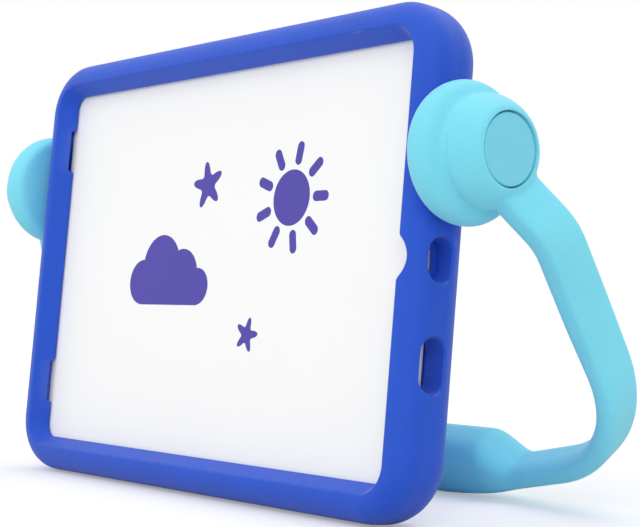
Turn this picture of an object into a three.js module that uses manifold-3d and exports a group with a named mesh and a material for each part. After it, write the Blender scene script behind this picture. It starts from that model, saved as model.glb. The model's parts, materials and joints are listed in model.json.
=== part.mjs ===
// Tablet case of moulded foam with a swing handle that also props it up.
// Millimetres, +Z up. The case stands on its bottom edge and leans back on the handle.
// Case frame: x right, y back from the front ridge, z up from the middle of the window.
import * as THREE from 'three';
import { mergeVertices } from 'three/addons/utils/BufferGeometryUtils.js';
import Module from 'manifold-3d';

const wasm = await Module();
wasm.setup();

// Display slab: the white dummy tablet that fills the case
const slabLength = 250.6;
const slabHeight = 174.1;
const slabThickness = 8;
const slabEdgeRadius = 1.8;
const slabPortLength = 9;
const slabPortWidth = 3;
const slabPortDepth = 3;

// Foam case, a rail profile that runs round the window
const windowCorner = 6;
const outerCorner = 26;
const lipOverlap = 5;
const lipDepth = 9;
const lipEdge = 1.3;
const bevelWidth = 4.6;
const ridgeRadius = 1.6;
const railWidth = 15.5;
const caseThickness = 28;
const frontRadius = 10;
const backRadius = 12.6;
const panelThickness = 6;
const backRailWidth = 24;
const backStepRun = 7;

// Openings in the foam
const portMouthHeight = 16.8;
const portMouthWidth = 11;
const portMouthCorner = 6;
const portMouthDepth = 8.6;
const portMouthY = 12;
const portHoleHeight = 10.4;
const portHoleWidth = 5;
const speakerHeight = 20.5;
const speakerWidth = 10.6;
const speakerCorner = 6;
const speakerY = 11.8;
const speakerZ = -38.2;
const sideSlotHeight = 20.4;
const sideSlotWidth = 7;
const sideSlotCorner = 1.6;
const sideSlotY = 9.7;
const sideSlotZ = 56;
const homeNotchRadius = 9.4;
const homeNotchReach = 8.6;
const homeNotchOvercut = 0.1;
const volumeLength = 34;
const volumeWidth = 9;
const volumeFromEnd = 43;
const cameraFromEdge = 12.5;
const cameraRadius = 6.5;
const cameraFlare = 3;

// Pivot axis along x through both hubs, and the lean of the case on the handle
const pivotY = 13.4;
const pivotZ = 38.6;
const leanDegrees = 6.1;

// Handle: a band bent round in one plane, with a thick pad in the middle of its bar
const armStandOff = 38.4;
const barReach = 153.4;
const barFlat = 58;
const shoulderRadius = 200;
const shoulderSlope = 13;
const cornerRadius = 55;
const bandThickness = 9.8;
const bandWidth = 19.4;
const bandEdgeRadius = 3;
const padReach = 129;
const padHalfLength = 92;
const padEndLength = 13;
const padWidth = 23.4;
const padEdgeRadius = 5;
const armBendRadius = 26;
const armRootAngle = 31;
const armRootStation = 23.8;
const armRootReach = 9.5;

// Double dome of each hub, measured out from the side wall
const hubGap = 0.3;
const hubHeight = 28.7;
const hubFootRadius = 23.2;
const hubDomeHeight = 7.5;
const hubDomeRadius = 26.5;
const hubNeckHeight = 15.5;
const hubNeckRadius = 20.8;
const hubNeckDip = 0.4;
const hubCrownHeight = 18.5;
const hubCrownRadius = 20.9;
const hubFaceEdge = 0.9;

// Cap that closes the hub
const capRadius = 13;
const capGap = 0.35;
const capThickness = 3;
const capRecess = 0.3;
const capEdge = 0.4;
const capSkirtRadius = 9.8;
const capSkirtWall = 1.4;
const capSkirtLength = 3;

// Pivot hardware
const shankRadius = 2.5;
const threadRadius = 2;
const threadEdge = 0.4;
const threadFromPocket = 1;
const headRadius = 5.2;
const headThickness = 2.8;
const headEdge = 0.8;
const socketRadius = 2;
const socketDepth = 1.6;
const bushWall = 2.5;
const bushLength = 18;
const bushFlangeRadius = 9.2;
const bushFlangeThickness = 1.6;
const headWasherRadius = 7.4;
const headWasherThickness = 1.2;
const wallWasherRadius = 6.4;
const wallWasherThickness = 1.2;
const anchorLength = 13;
const anchorWidth = 6.6;
const anchorThickness = 2;
const anchorBossRadius = 3.2;

// Clearances
const fitClearance = 0.3;
const runningClearance = 0.1;

// How far a cut runs on past what it cuts
const overrun = 1;

// Facet counts
const cornerSteps = 8;
const filletSteps = 5;
const bandEdgeSteps = 3;
const slabEdgeSteps = 3;
const domeSteps = 36;
const boreSteps = 18;

// Derived sizes
const rad = THREE.MathUtils.degToRad;
const mix = THREE.MathUtils.lerp;
const lean = rad(leanDegrees);
const windowHalfX = slabLength / 2 - lipOverlap;
const windowHalfZ = slabHeight / 2 - lipOverlap;
const wallX = windowHalfX + railWidth;
const wallZ = windowHalfZ + railWidth;
const slabFront = lipDepth + fitClearance;
const slabBack = slabFront + slabThickness;
const slabMiddle = (slabFront + slabBack) / 2;
const pocketFloor = slabBack + fitClearance;
const pocketEdge = lipOverlap + fitClearance;
const pocketX = windowHalfX + pocketEdge;
const panelBack = pocketFloor + panelThickness;
const wallDepth = wallX - pocketX;
const armHalfSpan = wallX + armStandOff;
const throughWall = wallDepth + railWidth;

// Stations along the pivot, measured out from the side wall
const wallWasherSeat = -wallWasherThickness - fitClearance;
const bossEnd = wallWasherSeat - fitClearance;
const bushStart = hubGap;
const bushEnd = bushStart + bushLength;
const headWasherStart = bushEnd + fitClearance;
const headStart = headWasherStart + headWasherThickness + fitClearance;
const capFace = hubHeight - capRecess;
const capBack = capFace - capThickness;
const capSeat = capBack - fitClearance;
const skirtSeat = capSeat - capSkirtLength;
const bushBore = shankRadius + runningClearance;
const bushRadius = bushBore + bushWall;

// Joins and cuts

function toSolid(geometry) {
  const plain = geometry.clone();
  plain.deleteAttribute('normal');
  plain.deleteAttribute('uv');
  const merged = mergeVertices(plain, 1e-4);
  return new wasm.Manifold(new wasm.Mesh({
    numProp: 3,
    vertProperties: new Float32Array(merged.attributes.position.array),
    triVerts: new Uint32Array(merged.index.array),
  }));
}

function toGeometry(solid) {
  const mesh = solid.getMesh();
  const geometry = new THREE.BufferGeometry();
  geometry.setAttribute('position', new THREE.BufferAttribute(new Float32Array(mesh.vertProperties), 3));
  geometry.setIndex(new THREE.BufferAttribute(new Uint32Array(mesh.triVerts), 1));
  geometry.computeVertexNormals();
  return geometry;
}

function cutAll(body, tools) {
  return tools.reduce((solid, tool) => solid.subtract(toSolid(tool)), toSolid(body));
}

// Six times the signed volume of an indexed skin, positive when its faces point out
function signedVolume(positions, index) {
  const at = (i) => new THREE.Vector3().fromArray(positions, index[i] * 3);
  let sum = 0;
  for (let i = 0; i < index.length; i += 3) {
    sum += at(i).dot(at(i + 1).cross(at(i + 2)));
  }
  return sum;
}

// A closed skin over a row of rings with equal point counts, with a flat cap on each end
function loft(rings) {
  const count = rings[0].length;
  const positions = rings.flat().flatMap((p) => [p.x, p.y, p.z]);
  const index = [];
  for (let r = 0; r + 1 < rings.length; r += 1) {
    for (let i = 0; i < count; i += 1) {
      const a = r * count + i;
      const b = r * count + (i + 1) % count;
      index.push(a, b, b + count, a, b + count, a + count);
    }
  }
  [0, rings.length - 1].forEach((r) => {
    const middle = new THREE.Vector3();
    rings[r].forEach((p) => middle.addScaledVector(p, 1 / count));
    const centre = positions.length / 3;
    positions.push(middle.x, middle.y, middle.z);
    for (let i = 0; i < count; i += 1) {
      const a = r * count + i;
      const b = r * count + (i + 1) % count;
      index.push(centre, r ? a : b, r ? b : a);
    }
  });
  const outward = signedVolume(positions, index) > 0 ? index : index.reverse();
  const geometry = new THREE.BufferGeometry();
  geometry.setAttribute('position', new THREE.Float32BufferAttribute(positions, 3));
  geometry.setIndex(outward);
  return geometry;
}

// Points of a rounded rectangle, as many for any size
function roundedRectangle(halfU, halfV, radius, steps) {
  const r = Math.min(radius, halfU, halfV);
  const points = [];
  [[1, 1], [-1, 1], [-1, -1], [1, -1]].forEach(([sideU, sideV], corner) => {
    for (let i = 0; i <= steps; i += 1) {
      const angle = rad(90 * (corner + i / steps));
      points.push(new THREE.Vector2(
        sideU * (halfU - r) + r * Math.cos(angle),
        sideV * (halfV - r) + r * Math.sin(angle),
      ));
    }
  });
  return points;
}

// A prism along +Z with a rounded outline, its length along x and its width along y
function slotPrism(length, width, corner, depth) {
  const r = Math.min(corner, length / 2, width / 2) * 0.999;
  const shape = new THREE.Shape(roundedRectangle(length / 2, width / 2, r, filletSteps));
  return new THREE.ExtrudeGeometry(shape, { depth, bevelEnabled: false });
}

// The same prism run outwards through a side wall from x = start, its length upright
function sideSlot(side, start, length, width, corner, y, z) {
  return slotPrism(length, width, corner, throughWall + railWidth)
    .rotateY(side * Math.PI / 2)
    .translate(side * start, y, z);
}

// The points of a path, without those that repeat the one before
function distinctPoints(path, steps) {
  return path.getPoints(steps).filter((p, i, all) => !i || p.distanceTo(all[i - 1]) > 1e-3);
}

// A turned piece about the x axis, from points of station along x and radius
function turned(stations, steps) {
  const profile = stations.map(([station, radius]) => new THREE.Vector2(radius, station));
  return new THREE.LatheGeometry(profile, steps).rotateZ(-Math.PI / 2);
}

function material(color, roughness, metalness = 0) {
  return new THREE.MeshStandardMaterial({ color, roughness, metalness });
}

const blueFoam = material(0x2f52cf, 0.8);
const skyFoam = material(0x73d2e6, 0.8);
const skyCap = material(0x78cbe1, 0.65);
const whiteShell = material(0xf7f7fa, 0.5);
const plainSteel = material(0xb9bdc2, 0.35, 1);
const plainNylon = material(0xe6e6e0, 0.6);

function part(name, geometry, finish) {
  const mesh = new THREE.Mesh(geometry, finish);
  mesh.name = name;
  return mesh;
}

// Foam case

// The rail profile: how far out from the window's edge, and how deep behind the front ridge
function railProfile() {
  const path = new THREE.Path();
  const ridgeEnd = bevelWidth + ridgeRadius * 0.6;
  const fillet = Math.min(frontRadius, railWidth - ridgeEnd - 0.1);
  const backFillet = Math.min(backRadius, caseThickness - fillet - 0.5);
  const stepStart = railWidth - backRailWidth;
  path.moveTo(pocketEdge, pocketFloor);
  path.lineTo(pocketEdge, lipDepth);
  path.lineTo(lipEdge, lipDepth);
  path.quadraticCurveTo(0, lipDepth, lipEdge * 0.3, lipDepth - lipEdge * 1.2);
  path.lineTo(bevelWidth - ridgeRadius * 0.6, ridgeRadius);
  path.quadraticCurveTo(bevelWidth, 0, ridgeEnd, 0);
  path.lineTo(railWidth - fillet, 0);
  path.absarc(railWidth - fillet, fillet, fillet, -Math.PI / 2, 0, false);
  path.lineTo(railWidth, caseThickness - backFillet);
  path.absarc(railWidth - backFillet, caseThickness - backFillet, backFillet, 0, Math.PI / 2, false);
  path.lineTo(stepStart, caseThickness);
  path.bezierCurveTo(
    stepStart - backStepRun / 2, caseThickness,
    stepStart - backStepRun / 2, panelBack,
    stepStart - backStepRun, panelBack,
  );
  return distinctPoints(path, filletSteps);
}

// The corner's radius grows from the window's edge to the outer wall
function cornerAt(offset) {
  return THREE.MathUtils.mapLinear(offset, 0, railWidth, windowCorner, outerCorner);
}

function caseRing(offset, depth) {
  const corner = Math.max(cornerAt(offset), 2);
  return roundedRectangle(windowHalfX + offset, windowHalfZ + offset, corner, cornerSteps)
    .map((p) => new THREE.Vector3(p.x, depth, p.y));
}

// Cuts for the charging port, the speakers, the side keys, the home key and the volume keys
function openingTools() {
  const inside = pocketX - overrun;
  const portMouth = sideSlot(
    1, wallX - portMouthDepth, portMouthHeight, portMouthWidth, portMouthCorner, portMouthY, 0,
  );
  const portHole = sideSlot(1, inside, portHoleHeight, portHoleWidth, portHoleWidth / 2, slabMiddle, 0);
  const speaker = sideSlot(1, inside, speakerHeight, speakerWidth, speakerCorner, speakerY, speakerZ);
  const keys = [sideSlotZ, -sideSlotZ].map((z) => sideSlot(
    -1, windowHalfX - overrun, sideSlotHeight, sideSlotWidth, sideSlotCorner, sideSlotY, z,
  ));
  const homeKey = new THREE.CylinderGeometry(homeNotchRadius, homeNotchRadius, 2 * lipDepth, domeSteps)
    .translate(windowHalfX + homeNotchReach - homeNotchRadius, homeNotchOvercut, 0);
  const volume = slotPrism(volumeLength, volumeWidth, volumeWidth / 2, throughWall + railWidth)
    .translate(-slabLength / 2 + volumeFromEnd, slabMiddle, windowHalfZ + pocketEdge - overrun);
  return [portMouth, portHole, speaker, ...keys, homeKey, volume];
}

// The lens hole through the back panel, flared outwards
function cameraTool() {
  const past = caseThickness;
  return turned([
    [-overrun, 0],
    [-overrun, cameraRadius],
    [panelThickness - cameraFlare, cameraRadius],
    [panelThickness + past, cameraRadius + cameraFlare + past],
    [panelThickness + past, 0],
  ], boreSteps)
    .rotateZ(Math.PI / 2)
    .translate(cameraFromEdge - slabLength / 2, pocketFloor, slabHeight / 2 - cameraFromEdge);
}

// Seats of the wall washer and the anchor in one side wall, with the hole between them
function pivotSeatTools(side) {
  const washerSeat = turned([
    [wallWasherSeat, 0],
    [wallWasherSeat, wallWasherRadius + fitClearance],
    [railWidth, wallWasherRadius + fitClearance],
    [railWidth, 0],
  ], boreSteps);
  const bossHole = turned([
    [-wallDepth - overrun, 0],
    [-wallDepth - overrun, anchorBossRadius + fitClearance],
    [overrun, anchorBossRadius + fitClearance],
    [overrun, 0],
  ], boreSteps);
  const plateSeat = new THREE.BoxGeometry(
    anchorThickness + fitClearance + overrun,
    anchorWidth + 2 * fitClearance,
    anchorLength + 2 * fitClearance,
  ).translate((anchorThickness + fitClearance - overrun) / 2 - wallDepth, 0, 0);
  return [washerSeat, bossHole, plateSeat].map((tool) => toSide(tool, side));
}

// Moves a piece made about the pivot at the right wall to the wall on that side
function toSide(geometry, side) {
  return geometry.rotateZ(side > 0 ? 0 : Math.PI).translate(side * wallX, 0, 0);
}

function atPivot(geometry) {
  return geometry.translate(0, pivotY, pivotZ);
}

function makeCaseShell() {
  const body = loft(railProfile().map((p) => caseRing(p.x, p.y)));
  const seats = [1, -1].flatMap((side) => pivotSeatTools(side)).map(atPivot);
  const solid = cutAll(body, [...openingTools(), cameraTool(), ...seats]);
  return part('case_shell', toGeometry(solid), blueFoam);
}

// Display slab

function makeDisplaySlab() {
  const edge = Math.min(slabEdgeRadius, slabThickness / 2);
  const ring = (inset, depth) => caseRing(lipOverlap - inset, depth);
  const rings = [];
  for (let i = 0; i <= slabEdgeSteps; i += 1) {
    const angle = rad(90 * i / slabEdgeSteps);
    rings.push(ring(edge * (1 - Math.sin(angle)), slabFront + edge * (1 - Math.cos(angle))));
  }
  for (let i = slabEdgeSteps; i >= 0; i -= 1) {
    const angle = rad(90 * i / slabEdgeSteps);
    rings.push(ring(edge * (1 - Math.sin(angle)), slabBack - edge * (1 - Math.cos(angle))));
  }
  const port = sideSlot(
    1, slabLength / 2 - slabPortDepth, slabPortLength, slabPortWidth, slabPortWidth / 2, slabMiddle, 0,
  );
  return part('display_slab', toGeometry(cutAll(loft(rings), [port])), whiteShell);
}

// Handle, in its own frame: x across, -z away from the pivot, y towards its back

// Half of the band's outer outline, from the middle of the bar to the arm's root in the hub,
// as stretches with their number of steps
function outerOutline() {
  const slope = rad(shoulderSlope);
  const rootTurn = rad(armRootAngle);
  const quarter = Math.PI / 2;
  const at = (x, s) => new THREE.Vector2(x, s);
  const line = (x1, s1, x2, s2) => new THREE.LineCurve(at(x1, s1), at(x2, s2));
  const arc = (x, s, radius, from, to) => new THREE.ArcCurve(x, s, radius, from, to, true);
  const cornerX = armHalfSpan - cornerRadius;
  const shoulderX = barFlat + shoulderRadius * Math.sin(slope);
  const shoulderS = barReach - shoulderRadius * (1 - Math.cos(slope));
  const cornerStartX = cornerX + cornerRadius * Math.sin(slope);
  const cornerStartS = shoulderS - (cornerStartX - shoulderX) * Math.tan(slope);
  const cornerS = cornerStartS - cornerRadius * Math.cos(slope);
  const bendX = armHalfSpan - armBendRadius;
  const bendEndX = bendX + armBendRadius * Math.cos(rootTurn);
  const rootX = wallX + armRootStation;
  const bendEndS = armRootReach + (bendEndX - rootX) / Math.tan(rootTurn);
  const bendS = bendEndS + armBendRadius * Math.sin(rootTurn);
  return [
    [line(0, barReach, barFlat, barReach), 2],
    [arc(barFlat, barReach - shoulderRadius, shoulderRadius, quarter, quarter - slope), 12],
    [line(shoulderX, shoulderS, cornerStartX, cornerStartS), 2],
    [arc(cornerX, cornerS, cornerRadius, quarter - slope, 0), 10],
    [line(armHalfSpan, cornerS, armHalfSpan, bendS), 1],
    [arc(bendX, bendS, armBendRadius, 0, -rootTurn), 4],
    [line(bendEndX, bendEndS, rootX, armRootReach), 1],
  ];
}

// Sections along that outline: place, outward direction, thickness, width and edge radius
function bandStations() {
  const stations = [];
  outerOutline().forEach(([curve, steps], c) => {
    for (let i = c ? 1 : 0; i <= steps; i += 1) {
      const place = curve.getPoint(i / steps);
      const travel = curve.getTangent(i / steps);
      const outward = new THREE.Vector2(-travel.y, travel.x);
      const pad = 1 - THREE.MathUtils.smoothstep(place.x, padHalfLength, padHalfLength + padEndLength);
      const toPadFace = (place.y - padReach) / Math.max(outward.y, 0.5);
      stations.push({
        place,
        outward,
        thickness: mix(bandThickness, Math.max(toPadFace, bandThickness), pad),
        width: mix(bandWidth, padWidth, pad),
        radius: mix(bandEdgeRadius, padEdgeRadius, pad),
      });
    }
  });
  return stations;
}

function bandRing({ place, outward, thickness, width, radius }, side) {
  const limit = Math.min(radius, thickness * 0.49);
  return roundedRectangle(thickness / 2, width / 2, limit, bandEdgeSteps).map((p) => {
    const along = p.x - thickness / 2;
    return new THREE.Vector3(side * (place.x + outward.x * along), p.y, -(place.y + outward.y * along));
  });
}

function bandSolid() {
  const half = bandStations();
  const left = half.slice(1).reverse().map((station) => bandRing(station, -1));
  const right = half.map((station) => bandRing(station, 1));
  return toSolid(loft([...left, ...right]));
}

// The double dome: a wide dome against the wall, a soft neck and a crown with a flat face
function domeProfile() {
  const path = new THREE.Path();
  const faceRadius = capRadius + capGap + hubFaceEdge;
  path.moveTo(hubGap, 0);
  path.lineTo(hubGap, hubFootRadius);
  path.bezierCurveTo(
    mix(hubGap, hubDomeHeight, 0.25), mix(hubFootRadius, hubDomeRadius, 0.67),
    mix(hubGap, hubDomeHeight, 0.6), hubDomeRadius,
    hubDomeHeight, hubDomeRadius,
  );
  path.bezierCurveTo(
    mix(hubDomeHeight, hubNeckHeight, 0.5), hubDomeRadius,
    mix(hubDomeHeight, hubNeckHeight, 0.75), mix(hubDomeRadius, hubNeckRadius, 0.44),
    hubNeckHeight, hubNeckRadius,
  );
  path.quadraticCurveTo(
    mix(hubNeckHeight, hubCrownHeight, 0.3), hubNeckRadius - hubNeckDip,
    hubCrownHeight, hubCrownRadius,
  );
  path.bezierCurveTo(
    mix(hubCrownHeight, hubHeight, 0.28), mix(hubCrownRadius, faceRadius, 0.1),
    mix(hubCrownHeight, hubHeight, 0.77), mix(hubCrownRadius, faceRadius, 0.44),
    hubHeight, faceRadius,
  );
  path.lineTo(hubHeight, 0);
  return distinctPoints(path, filletSteps).map((p) => [p.x, p.y]);
}

// The stepped bore of the hub for the bush, the head washer and the cap's skirt
function hubBoreTool() {
  const flangeSeat = bushStart + bushFlangeThickness + fitClearance;
  return turned([
    [-overrun, 0],
    [-overrun, bushFlangeRadius + fitClearance],
    [flangeSeat, bushFlangeRadius + fitClearance],
    [flangeSeat, bushRadius + fitClearance],
    [bushEnd, bushRadius + fitClearance],
    [bushEnd, headWasherRadius + fitClearance],
    [skirtSeat, headWasherRadius + fitClearance],
    [skirtSeat, capSkirtRadius + fitClearance],
    [hubHeight, capSkirtRadius + fitClearance],
    [hubHeight, 0],
  ], boreSteps);
}

// The wide, shallow recess that the cap lies in
function capRecessTool() {
  return turned([
    [capSeat, 0],
    [capSeat, capRadius + capGap],
    [hubHeight + overrun, capRadius + capGap],
    [hubHeight + overrun, 0],
  ], domeSteps);
}

function makeHandle() {
  let solid = bandSolid();
  [1, -1].forEach((side) => {
    solid = solid.add(toSolid(toSide(turned(domeProfile(), domeSteps), side)));
  });
  [1, -1].forEach((side) => {
    solid = solid.subtract(toSolid(toSide(hubBoreTool(), side)));
    solid = solid.subtract(toSolid(toSide(capRecessTool(), side)));
  });
  return part('handle', toGeometry(solid), skyFoam);
}

// Pivot hardware, made about the axis with stations out from the right wall

function capGeometry() {
  const skirtEnd = capBack - capSkirtLength;
  return turned([
    [capFace, 0],
    [capFace, capRadius - capEdge],
    [capFace - capEdge, capRadius],
    [capBack, capRadius],
    [capBack, capSkirtRadius],
    [skirtEnd, capSkirtRadius],
    [skirtEnd, capSkirtRadius - capSkirtWall],
    [capBack, capSkirtRadius - capSkirtWall],
    [capBack, 0],
  ].reverse(), domeSteps);
}

function bushGeometry() {
  const flangeEnd = bushStart + bushFlangeThickness;
  return turned([
    [bushStart, bushBore],
    [bushStart, bushFlangeRadius],
    [flangeEnd, bushFlangeRadius],
    [flangeEnd, bushRadius],
    [bushEnd, bushRadius],
    [bushEnd, bushBore],
    [bushStart, bushBore],
  ], boreSteps);
}

function washerGeometry(start, thickness, radius) {
  const bore = shankRadius + fitClearance;
  return turned([
    [start, bore],
    [start, radius],
    [start + thickness, radius],
    [start + thickness, bore],
    [start, bore],
  ], boreSteps);
}

function screwGeometry() {
  const tip = threadFromPocket - wallDepth;
  const headEnd = headStart + headThickness;
  const body = turned([
    [tip, 0],
    [tip, threadRadius - threadEdge],
    [tip + threadEdge, threadRadius],
    [wallWasherSeat, threadRadius],
    [wallWasherSeat, shankRadius],
    [headStart, shankRadius],
    [headStart, headRadius],
    [headEnd - headEdge, headRadius],
    [headEnd, headRadius - headEdge],
    [headEnd, 0],
  ], boreSteps);
  const socket = turned([
    [headEnd - socketDepth, 0],
    [headEnd - socketDepth, socketRadius],
    [headEnd + overrun, socketRadius],
    [headEnd + overrun, 0],
  ], 6);
  return toGeometry(cutAll(body, [socket]));
}

function anchorGeometry() {
  const plate = new THREE.BoxGeometry(anchorThickness, anchorWidth, anchorLength)
    .translate(anchorThickness / 2 - wallDepth, 0, 0);
  const boss = turned([
    [-wallDepth + anchorThickness / 2, 0],
    [-wallDepth + anchorThickness / 2, anchorBossRadius],
    [bossEnd, anchorBossRadius],
    [bossEnd, 0],
  ], boreSteps);
  const bore = turned([
    [-wallDepth - overrun, 0],
    [-wallDepth - overrun, threadRadius + fitClearance],
    [overrun, threadRadius + fitClearance],
    [overrun, 0],
  ], boreSteps);
  return toGeometry(toSolid(plate).add(toSolid(boss)).subtract(toSolid(bore)));
}

// Assembly

const root = new THREE.Group();
const caseFrame = new THREE.Group();
const pivotFrame = new THREE.Group();
const handleFrame = new THREE.Group();

// The lowest line of the leaning case is on its back fillet, and the pad's front edge meets
// the same floor, which sets how far the handle is swung back.
const backCentreY = caseThickness - backRadius;
const backCentreZ = wallZ - backRadius;
const caseDrop = backCentreY * Math.sin(lean) + backCentreZ * Math.cos(lean) + backRadius;
const pivotHeight = caseDrop + pivotZ * Math.cos(lean) - pivotY * Math.sin(lean);
const padEdgeS = barReach - padEdgeRadius;
const padEdgeN = padWidth / 2 - padEdgeRadius;
const padEdgeTurn = Math.acos((pivotHeight - padEdgeRadius) / Math.hypot(padEdgeS, padEdgeN));
const swing = padEdgeTurn + Math.atan2(padEdgeN, padEdgeS) + lean;

caseFrame.rotation.x = -lean;
caseFrame.position.z = caseDrop;
pivotFrame.position.set(0, pivotY, pivotZ);
handleFrame.rotation.x = swing;
root.add(caseFrame);
caseFrame.add(makeCaseShell(), makeDisplaySlab(), pivotFrame);
pivotFrame.add(handleFrame);
handleFrame.add(makeHandle());

[['left', -1], ['right', 1]].forEach(([name, side]) => {
  const anchor = toSide(anchorGeometry(), side);
  const wallWasher = toSide(
    washerGeometry(-wallWasherThickness, wallWasherThickness, wallWasherRadius), side,
  );
  const headWasher = toSide(washerGeometry(headWasherStart, headWasherThickness, headWasherRadius), side);
  const screw = toSide(screwGeometry(), side);
  const bush = toSide(bushGeometry(), side);
  const cap = toSide(capGeometry(), side);
  pivotFrame.add(
    part(`anchor_plate_${name}`, anchor, plainSteel),
    part(`wall_washer_${name}`, wallWasher, plainNylon),
    part(`head_washer_${name}`, headWasher, plainSteel),
    part(`pivot_screw_${name}`, screw, plainSteel),
  );
  handleFrame.add(
    part(`hub_bush_${name}`, bush, plainNylon),
    part(`hub_cap_${name}`, cap, skyCap),
  );
});

// The origin is on the floor under the middle of the whole thing
root.updateMatrixWorld(true);
const bounds = new THREE.Box3().setFromObject(root, true);
caseFrame.position.y -= (bounds.min.y + bounds.max.y) / 2;
caseFrame.position.z -= bounds.min.z;
root.updateMatrixWorld(true);

export default root;
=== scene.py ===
# %% [markdown]
# # A foam tablet case with a swing handle
# A children's tablet case is two foam mouldings: a thick blue frame round the tablet, and a sky blue
# handle that turns on round hubs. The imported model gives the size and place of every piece. This script
# gives each visible piece its finished surface, and then lights it and sets up the camera.

# %% Load the frame
import json
import math

import bmesh
import bpy
import numpy as np
from mathutils import Matrix, Vector


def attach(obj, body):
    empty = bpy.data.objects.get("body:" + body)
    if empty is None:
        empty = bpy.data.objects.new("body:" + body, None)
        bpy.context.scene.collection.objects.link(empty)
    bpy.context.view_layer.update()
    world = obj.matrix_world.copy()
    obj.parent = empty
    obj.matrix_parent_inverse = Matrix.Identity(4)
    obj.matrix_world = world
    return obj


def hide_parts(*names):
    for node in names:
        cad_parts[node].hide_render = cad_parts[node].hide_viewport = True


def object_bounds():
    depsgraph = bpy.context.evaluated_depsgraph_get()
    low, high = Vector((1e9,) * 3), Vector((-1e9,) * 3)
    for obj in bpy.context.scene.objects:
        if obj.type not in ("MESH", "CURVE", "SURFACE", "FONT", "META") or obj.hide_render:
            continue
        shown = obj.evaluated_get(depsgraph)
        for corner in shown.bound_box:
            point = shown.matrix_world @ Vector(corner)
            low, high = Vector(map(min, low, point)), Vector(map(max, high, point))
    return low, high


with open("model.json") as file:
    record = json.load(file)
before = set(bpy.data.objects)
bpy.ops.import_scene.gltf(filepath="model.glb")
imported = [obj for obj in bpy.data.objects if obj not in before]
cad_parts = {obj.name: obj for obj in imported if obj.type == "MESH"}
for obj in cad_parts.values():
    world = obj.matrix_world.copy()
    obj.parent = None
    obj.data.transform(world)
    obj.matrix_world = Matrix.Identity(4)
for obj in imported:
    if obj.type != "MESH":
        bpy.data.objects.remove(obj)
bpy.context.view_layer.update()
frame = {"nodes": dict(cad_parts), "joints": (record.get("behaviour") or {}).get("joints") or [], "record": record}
nodes = frame["nodes"]
record = frame["record"]
hinge = frame["joints"][0]
print("nodes:", len(nodes), "hinge at", hinge["pos_m"])

# %% [markdown]
# ## Two working frames
# The case leans back, and the handle is swung back from it. Modelling a leaning thing in place is awkward,
# so each moulding is drawn in its own straight frame, in millimetres, and then put in place by one matrix.
# The case's frame has x to the right, y back from the front ridge and z up from the window's middle. The
# handle's has the pivot in the middle, and its arms run straight down. The lean comes from the flat face
# that the record states under the case, and the pivot from the hinge.

# %% Sizes of the case, in millimetres
MM = 0.001
WINDOW_X, WINDOW_Z = 120.3, 82.05
WINDOW_CORNER, OUTER_CORNER = 6.0, 26.0
RAIL_WIDTH, CASE_THICKNESS = 15.5, 28.0
LIP_DEPTH, LIP_EDGE, LIP_OVERLAP = 9.0, 1.3, 5.0
BEVEL_WIDTH, RIDGE_RADIUS = 4.6, 1.0
FRONT_RADIUS, BACK_RADIUS = 10.0, 12.6
SLAB_THICKNESS, PANEL_THICKNESS = 8.0, 6.0
BACK_RAIL_WIDTH, BACK_STEP_RUN = 24.0, 7.0
FIT = 0.3
PIVOT_Y, PIVOT_Z = 13.4, 38.6

WALL_X = WINDOW_X + RAIL_WIDTH
WALL_Z = WINDOW_Z + RAIL_WIDTH
SLAB_FRONT = LIP_DEPTH + FIT
SLAB_MIDDLE = SLAB_FRONT + SLAB_THICKNESS / 2
POCKET_FLOOR = SLAB_FRONT + SLAB_THICKNESS + FIT
POCKET_EDGE = LIP_OVERLAP + FIT
PANEL_BACK = POCKET_FLOOR + PANEL_THICKNESS
print("case over its walls:", round(2 * WALL_X, 2), "x", round(2 * WALL_Z, 2), "mm")

# %% Place the case frame and the handle frame
rest_face = next(m for m in record["mounts"] if m["name"] == "bottom_edge")
lean = math.atan2(-rest_face["axis"][1], -rest_face["axis"][2])
pivot = Vector(hinge["pos_m"])
lean_turn = Matrix.Rotation(-lean, 4, "X")
to_pivot = Vector((0, PIVOT_Y, PIVOT_Z)) * MM
case_frame = Matrix.Translation(pivot) @ lean_turn @ Matrix.Translation(-to_pivot)

BAR_REACH, PAD_WIDTH, PAD_EDGE_RADIUS = 153.4, 23.4, 5.0
pad_s = BAR_REACH - PAD_EDGE_RADIUS
pad_n = PAD_WIDTH / 2 - PAD_EDGE_RADIUS
pivot_height = pivot.z / MM
swing = math.acos((pivot_height - PAD_EDGE_RADIUS) / math.hypot(pad_s, pad_n)) + math.atan2(pad_n, pad_s)
handle_frame = Matrix.Translation(pivot) @ Matrix.Rotation(swing, 4, "X")
print("lean", round(math.degrees(lean), 2), "handle swung back by", round(math.degrees(swing), 2))

# %% [markdown]
# ## Outlines and lofts
# A moulded rail or band is one section carried along a route. A loft says that directly: a row of closed
# rings with equal point counts, and a skin over them. The same helper also makes the cutters for the slots.

# %% Points of lines and curves
FULL_ROUND = 0.999  # the largest corner, as a share of half a side


def rounded_rectangle(half_u, half_v, radius, steps, splits=(1, 1)):
    """Points of a rounded rectangle, anticlockwise, its straights along u and v split so many times."""
    radius = min(radius, half_u * FULL_ROUND, half_v * FULL_ROUND)
    corners = []
    for corner, (side_u, side_v) in enumerate(((1, 1), (-1, 1), (-1, -1), (1, -1))):
        for i in range(steps + 1):
            turn = math.radians(90 * (corner + i / steps))
            corners.append((side_u * (half_u - radius) + radius * math.cos(turn),
                            side_v * (half_v - radius) + radius * math.sin(turn)))
    points = []
    for i, start in enumerate(corners):
        points.append(start)
        if (i + 1) % (steps + 1) == 0:
            end = corners[(i + 1) % len(corners)]
            pieces = splits[i // (steps + 1) % 2]
            points += [(start[0] + (end[0] - start[0]) * k / pieces,
                        start[1] + (end[1] - start[1]) * k / pieces) for k in range(1, pieces)]
    return points


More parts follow.
